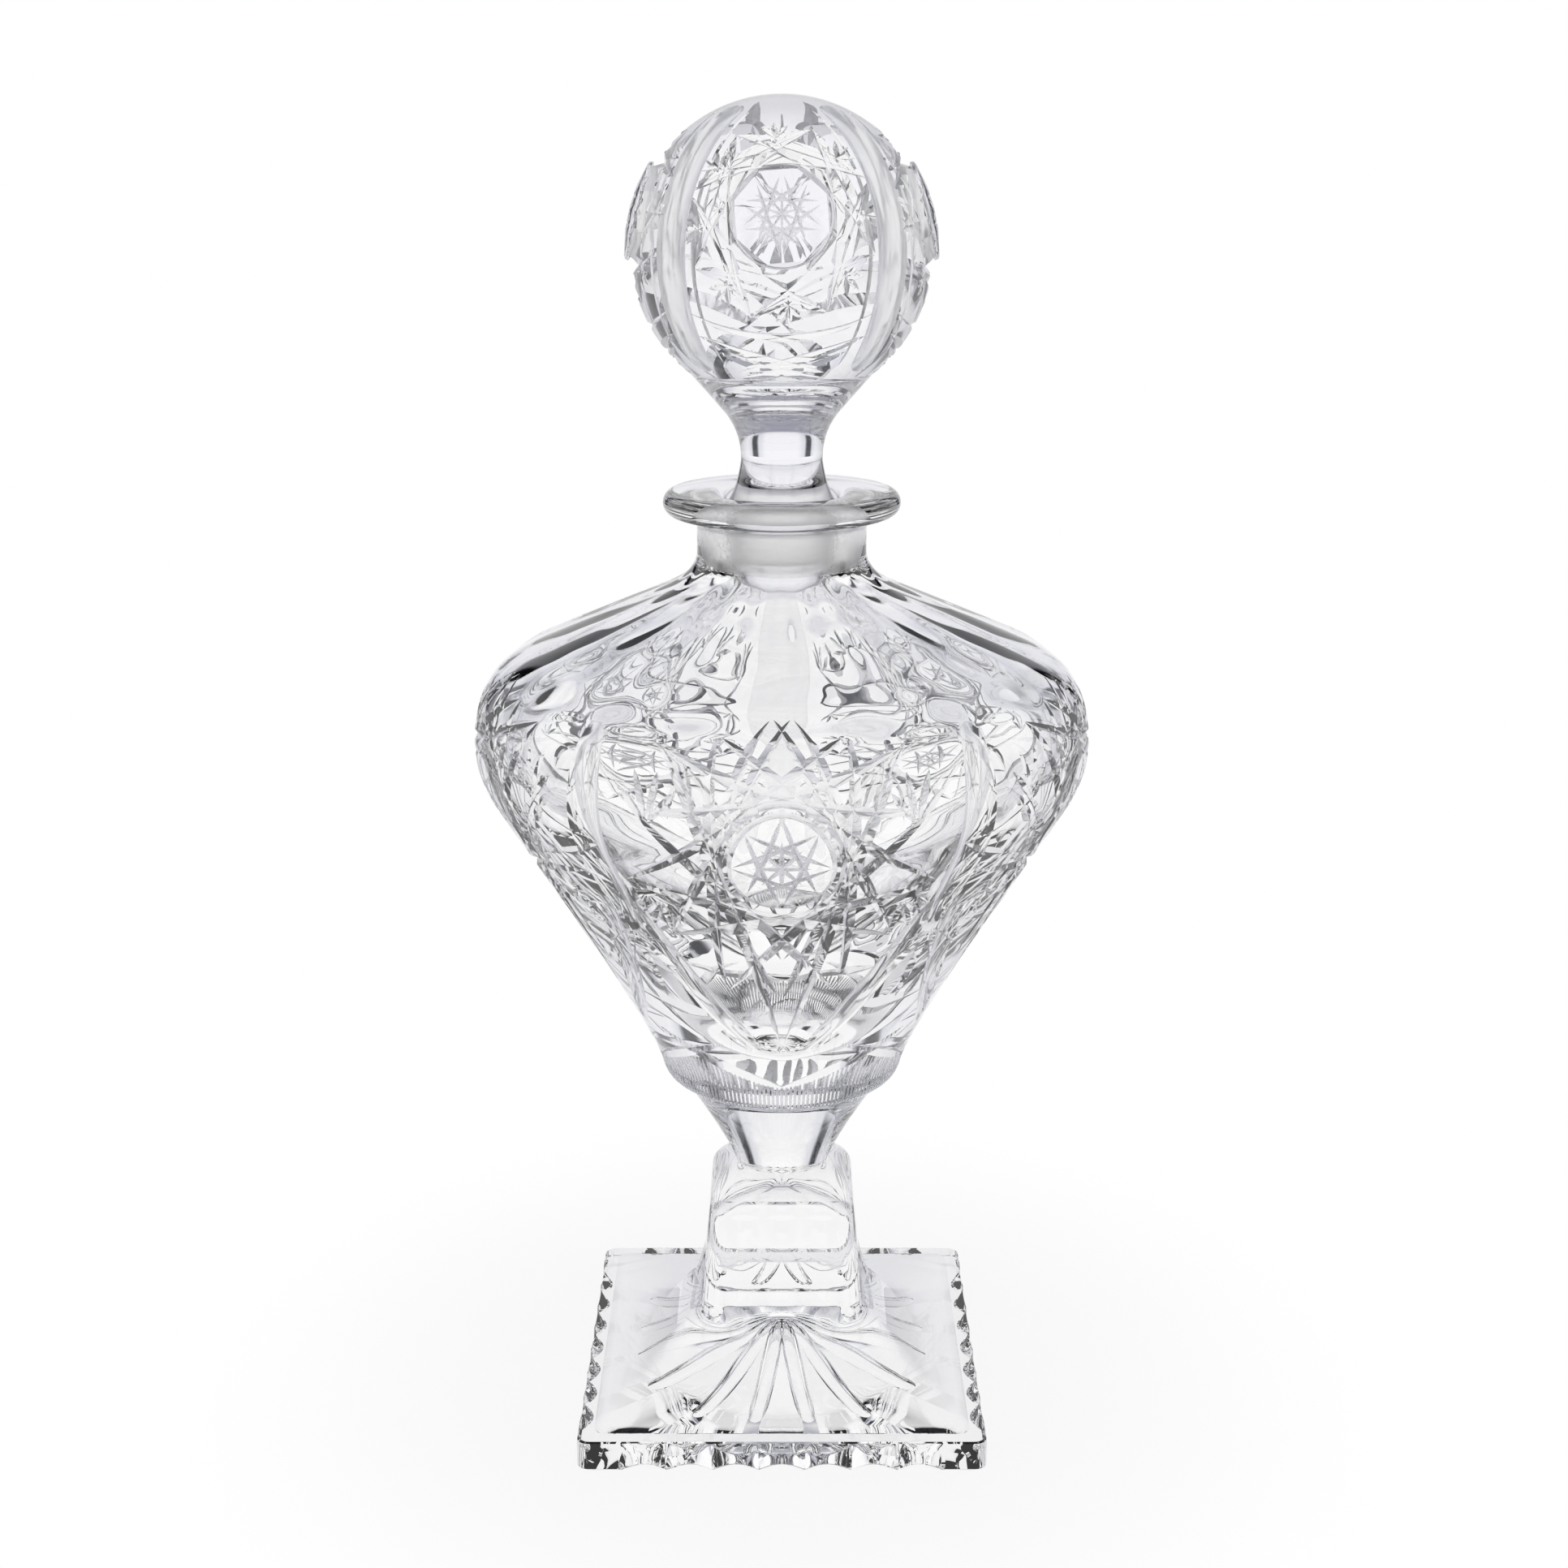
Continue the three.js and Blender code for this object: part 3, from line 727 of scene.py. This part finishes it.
# The ball's arc runs from where it leaves the skirt to just short of its pole
ball_start = math.atan2(BALL_FOOT[1] - BALL[1], BALL_FOOT[0])
ball_rises = np.linspace(ball_start, math.pi / 2 - 0.004, 90)
ball_arc = [(BALL[0] * math.cos(a), BALL[1] + BALL[0] * math.sin(a)) for a in ball_rises]
peg_end = profile(
    (0.2, PEG_TIP),
    (16, (7.2, PEG_TIP + 0.3), (SEAT[0][0] - SEAM - 0.2, SEAT[0][1] - 0.4)),
)
peg_and_waist = profile(
    (SEAT[0][0] - SEAM, SEAT[0][1] + 0.6),
    (12, (SEAT[1][0] - SEAM, SEAT[1][1])),
    (14, (8.4, 186), WAIST),
    (12, (7.6, 196.2), (10.4, 200)),
    (12, (12.6, 202.6), ball_arc[0]),
)
stopper_skin = [circle(r, z) for r, z in joined(peg_end, peg_and_waist, ball_arc)]
stopper_stack = [on_axis(PEG_TIP), *stopper_skin, on_axis(BALL[1] + BALL[0])]
stopper = solid("stopper_cut", [stopper_stack], solid_crystal)


def on_ball(middle, across, up):
    """Places and normals on the ball, from millimetres across and up from a medallion's middle,
    measured along great circles through it."""
    level = np.array([math.cos(middle), math.sin(middle), 0])
    heart = math.cos(BALL_RISE) * level + math.sin(BALL_RISE) * np.array([0, 0, 1])
    east = np.array([-math.sin(middle), math.cos(middle), 0])
    north = np.cross(heart, east)
    away = np.hypot(across, up)
    angle = away / BALL[0]
    # No direction leads to the middle itself, so its distance is kept off zero
    safe = np.maximum(away, 1e-9)
    aside = np.outer(across / safe, east) + np.outer(up / safe, north)
    normals = np.outer(np.cos(angle), heart) + np.sin(angle)[:, None] * aside
    return normals * BALL[0] + np.array([0, 0, BALL[1]]), normals


def on_boss(middle, across, up):
    """The same on the low boss that carries the medallion."""
    places, normals = on_ball(middle, across, up)
    return places + normals * BOSS_HEIGHT, normals


def on_meridian(middle, across, up):
    """Places and normals on the ball by its own meridians, for what frames the fields."""
    rise = up / BALL[0]
    phi = middle + across / (BALL[0] * np.cos(rise))
    normals = np.stack([np.cos(rise) * np.cos(phi), np.cos(rise) * np.sin(phi), np.sin(rise)], 1)
    return normals * BALL[0] + np.array([0, 0, BALL[1]]), normals


def boss(middle):
    """A medallion's low boss on the ball: flat in the middle, with a sloping edge."""
    a = np.arange(96) * 2 * math.pi / 96
    rings = []
    for radius, height in ((9.9, -0.8), (8.8, 0.9), (8.4, 1), (4.2, 1)):
        places, normals = on_ball(middle, radius * np.cos(a), radius * np.sin(a))
        rings.append(places + normals * height * BOSS_HEIGHT)
    heart, outward = on_ball(middle, np.zeros(1), np.zeros(1))
    return [heart - outward * 3, *rings, heart + outward * BOSS_HEIGHT]


ball_middles = bearings(BALL_FIELDS)
ball_betweens = [m + math.pi / BALL_FIELDS for m in ball_middles]
bosses = solid("bosses", [boss(m) for m in ball_middles], solid_crystal)
stopper = combine(stopper, [bosses], "UNION")


def around(radius, share):
    """A point at this share of a turn round a medallion, clockwise from its top."""
    return radius * np.array([math.sin(2 * math.pi * share), math.cos(2 * math.pi * share)])


# Two stars cross round each medallion, one of deep long mitres and one of shallower short ones
tips = [around(TIP_RADIUS, (k + 0.4) / BALL_TIPS) for k in range(BALL_TIPS)]
ball_cutters = []
for skip, radius, depth in ((3, 10.1, 1.4), (2, 13.2, 1.0)):
    label = "ball_star_%d" % skip
    ball_cutters += star_cutters(
        label, on_ball, ball_middles, tips, skip, radius, depth, 14, ball_cut
    )
ball_cutters += rosette("ball_rosette", on_boss, ball_middles, 7.7, 10, 4, 0.32)
# Small stars of crossing kerfs fill the gaps between the large star's points
for k in range(SMALL_STAR_KERFS):
    small_kerfs = []
    for star in range(BALL_TIPS):
        share = (star + 0.9) / BALL_TIPS
        at = around(SMALL_STAR_RADIUS, share)
        aim = around(SMALL_STAR_REACH, share + k / (2 * SMALL_STAR_KERFS))
        line = bezier([at - aim, at + aim], 6)
        small_kerfs += [cut_between(on_ball, m, line, 0.7, mitre(48)) for m in ball_middles]
    ball_cutters.append(solid("small_stars_%d" % k, small_kerfs, ball_cut))


def framing(name, middles, controls, steps, depth, section, material=ball_cut, power=0.6):
    """One object for a curve cut along the ball's meridians, at every field or between them."""
    curve = bezier(controls, steps)
    return engraved(name, on_meridian, middles, curve, depth, section, material, power)


# A hollow band runs down between two fields, and a bent line frames each field from below
band = [(0, -23), (0, 33)]
ball_cutters.append(framing("bands", ball_betweens, band, 30, 1.4, hollow(7, 12), satin_band, 0.3))
bend = [(-18, -9.4), (0, -18.2), (18, -9.4)]
ball_cutters.append(framing("bends", ball_middles, bend, 20, 0.6, mitre(55)))
for lean in (-1, 1):
    # A fine strip edges the band on either side, and arcs cross under the field
    strip = [(5.6 * lean, -21), (5.6 * lean, 6), (4.4 * lean, 31)]
    label = "strips_%d" % lean
    ball_cutters.append(framing(label, ball_betweens, strip, 24, 0.4, mitre(50), power=0.3))
    for drop, reach in ((0, 16), (3.2, 12)):
        arc = [(-reach * lean, -14 - drop), (-2 * lean, -19.5 - drop), (8 * lean, -22.5 - drop / 2)]
        label = "arcs_%d_%d" % (lean, drop)
        ball_cutters.append(framing(label, ball_middles, arc, 14, 0.9, mitre(52)))
stopper = carve(stopper, ball_cutters)
grind(stopper, ground_crystal, SEAT[0][1] + 0.6, SEAT[1][1], SEAT[1][0])
polish(stopper)
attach(stopper, "stopper")
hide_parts("stopper")


# Table, light and camera. The bottle stands on a plain white sheet in a white tent. Six upright
# dark cards round it and the tent's grey ceiling put the grey edges into the clear glass.

SHEET_HALF = 1500.0
SHEET_CORNER = 400.0
CARDS = 6

sheet = bpy.data.materials.new("white_paper_sheet")
sheet.use_nodes = True
sheet_tree = sheet.node_tree
sheet_tree.nodes.clear()
rays = node(sheet_tree, "ShaderNodeLightPath")
through = {0: rays.outputs["Is Camera Ray"], 1: rays.outputs["Is Transmission Ray"]}
straight = node(sheet_tree, "ShaderNodeMath", {"operation": "MAXIMUM"}, through)
mirrored = {0: straight.outputs[0], 1: rays.outputs["Is Glossy Ray"]}
seen = node(sheet_tree, "ShaderNodeMath", {"operation": "MAXIMUM"}, mirrored)
# Away from the bottle's shadow the paper runs into the white behind it
place = node(sheet_tree, "ShaderNodeTexCoord")
from_middle = {0: place.outputs["Object"]}
away = node(sheet_tree, "ShaderNodeVectorMath", {"operation": "LENGTH"}, from_middle)
fade = {
    "From Min": 0.05,
    "From Max": 0.13,
    "To Min": 0.88,
    "To Max": 1.0,
    "interpolation_type": "SMOOTHSTEP",
}
bright = node(sheet_tree, "ShaderNodeMapRange", fade, {"Value": away.outputs["Value"]})
factors = {0: seen.outputs[0], 1: bright.outputs[0]}
glowing = node(sheet_tree, "ShaderNodeMath", {"operation": "MULTIPLY"}, factors)
paper = node(sheet_tree, "ShaderNodeBsdfDiffuse", {"Color": linear("#f7f7f7")})
glow = node(sheet_tree, "ShaderNodeEmission", {"Color": linear("#ffffff"), "Strength": 1.0})
layers = {0: glowing.outputs[0], 1: paper.outputs[0], 2: glow.outputs[0]}
both = node(sheet_tree, "ShaderNodeMixShader", {}, layers)
node(sheet_tree, "ShaderNodeOutputMaterial", {}, {"Surface": both.outputs[0]})
sheet_rings = [square(SHEET_HALF, SHEET_CORNER, z, 64) for z in (-0.5, -0.001)]
floor = solid("floor", [capped(sheet_rings)], sheet)

world = bpy.data.worlds.new("white_tent")
bpy.context.scene.world = world
world.use_nodes = True
tent_tree = world.node_tree
tent_tree.nodes.clear()


def ramp(value, start, end, low, high):
    """A soft step of a value from low at start to high at end."""
    step = {
        "From Min": start,
        "From Max": end,
        "To Min": low,
        "To Max": high,
        "interpolation_type": "SMOOTHSTEP",
    }
    return node(tent_tree, "ShaderNodeMapRange", step, {"Value": value}).outputs[0]


def mixed(share, first, second):
    """A colour between two, each a hex code or a socket."""
    made = node(tent_tree, "ShaderNodeMix", {"data_type": "RGBA"}, {0: share})
    for key, colour in ((6, first), (7, second)):
        if isinstance(colour, str):
            made.inputs[key].default_value = linear(colour)
        else:
            tent_tree.links.new(colour, made.inputs[key])
    return made.outputs[2]


direction = node(tent_tree, "ShaderNodeTexCoord")
axes = node(tent_tree, "ShaderNodeSeparateXYZ", {}, {"Vector": direction.outputs["Generated"]})
height = axes.outputs["Z"]
level = {0: axes.outputs["Y"], 1: axes.outputs["X"]}
bearing = node(tent_tree, "ShaderNodeMath", {"operation": "ARCTAN2"}, level)
turns = {"operation": "MULTIPLY_ADD", 1: CARDS, 2: math.pi}
turned = node(tent_tree, "ShaderNodeMath", turns, {0: bearing.outputs[0]})
wave = node(tent_tree, "ShaderNodeMath", {"operation": "COSINE"}, {0: turned.outputs[0]})

# The wave is lowest at six bearings: to the right, and at every sixth of a turn from there, so
# that none is straight behind the bottle. A card stands at each, with soft grey beside it, and
# ends below the ceiling.
beside = ramp(wave.outputs[0], -1.0, 0.0, 1.0, 0.0)
upright = ramp(wave.outputs[0], -0.98, -0.80, 1.0, 0.0)
lower = ramp(height, 0.45, 0.60, 1.0, 0.0)
card = node(tent_tree, "ShaderNodeMath", {"operation": "MULTIPLY"}, {0: upright, 1: lower})
ceiling = ramp(height, 0.50, 0.90, 0.0, 1.0)
side_colour = mixed(beside, "#ffffff", "#e2e3ea")
roofed_colour = mixed(ceiling, side_colour, "#9a9ba7")
tent_colour = mixed(card.outputs[0], roofed_colour, "#26282f")
tent = node(tent_tree, "ShaderNodeBackground", {"Strength": 1.0}, {"Color": tent_colour})
# The camera itself sees plain white behind the bottle
plain = node(tent_tree, "ShaderNodeBackground", {"Color": linear("#ffffff"), "Strength": 1.0})
path = node(tent_tree, "ShaderNodeLightPath")
sides = {0: path.outputs["Is Camera Ray"], 1: tent.outputs[0], 2: plain.outputs[0]}
shown = node(tent_tree, "ShaderNodeMixShader", {}, sides)
node(tent_tree, "ShaderNodeOutputWorld", {}, {"Surface": shown.outputs[0]})

# Pixels of the photograph, then millimetres and radians
PHOTO_SIDE = 1932
FOCAL_PIXELS = 2803.7
SHIFT_PIXELS = 2.7
SENSOR = 36.0
CAMERA_BACK = 428.16
CAMERA_HEIGHT = 252.3
CAMERA_TILT = 0.283
camera_data = bpy.data.cameras.new("camera")
camera_data.sensor_fit = "HORIZONTAL"
camera_data.sensor_width = SENSOR
camera_data.lens = SENSOR * FOCAL_PIXELS / PHOTO_SIDE
camera_data.shift_x = SHIFT_PIXELS / PHOTO_SIDE
camera_data.clip_end = 20
camera = bpy.data.objects.new("camera", camera_data)
bpy.context.scene.collection.objects.link(camera)
camera.location = (0, -CAMERA_BACK * 0.001, CAMERA_HEIGHT * 0.001)
camera.rotation_euler = (math.pi / 2 - CAMERA_TILT, 0, 0)
bpy.context.scene.camera = camera
bpy.context.scene.view_settings.view_transform = "Standard"
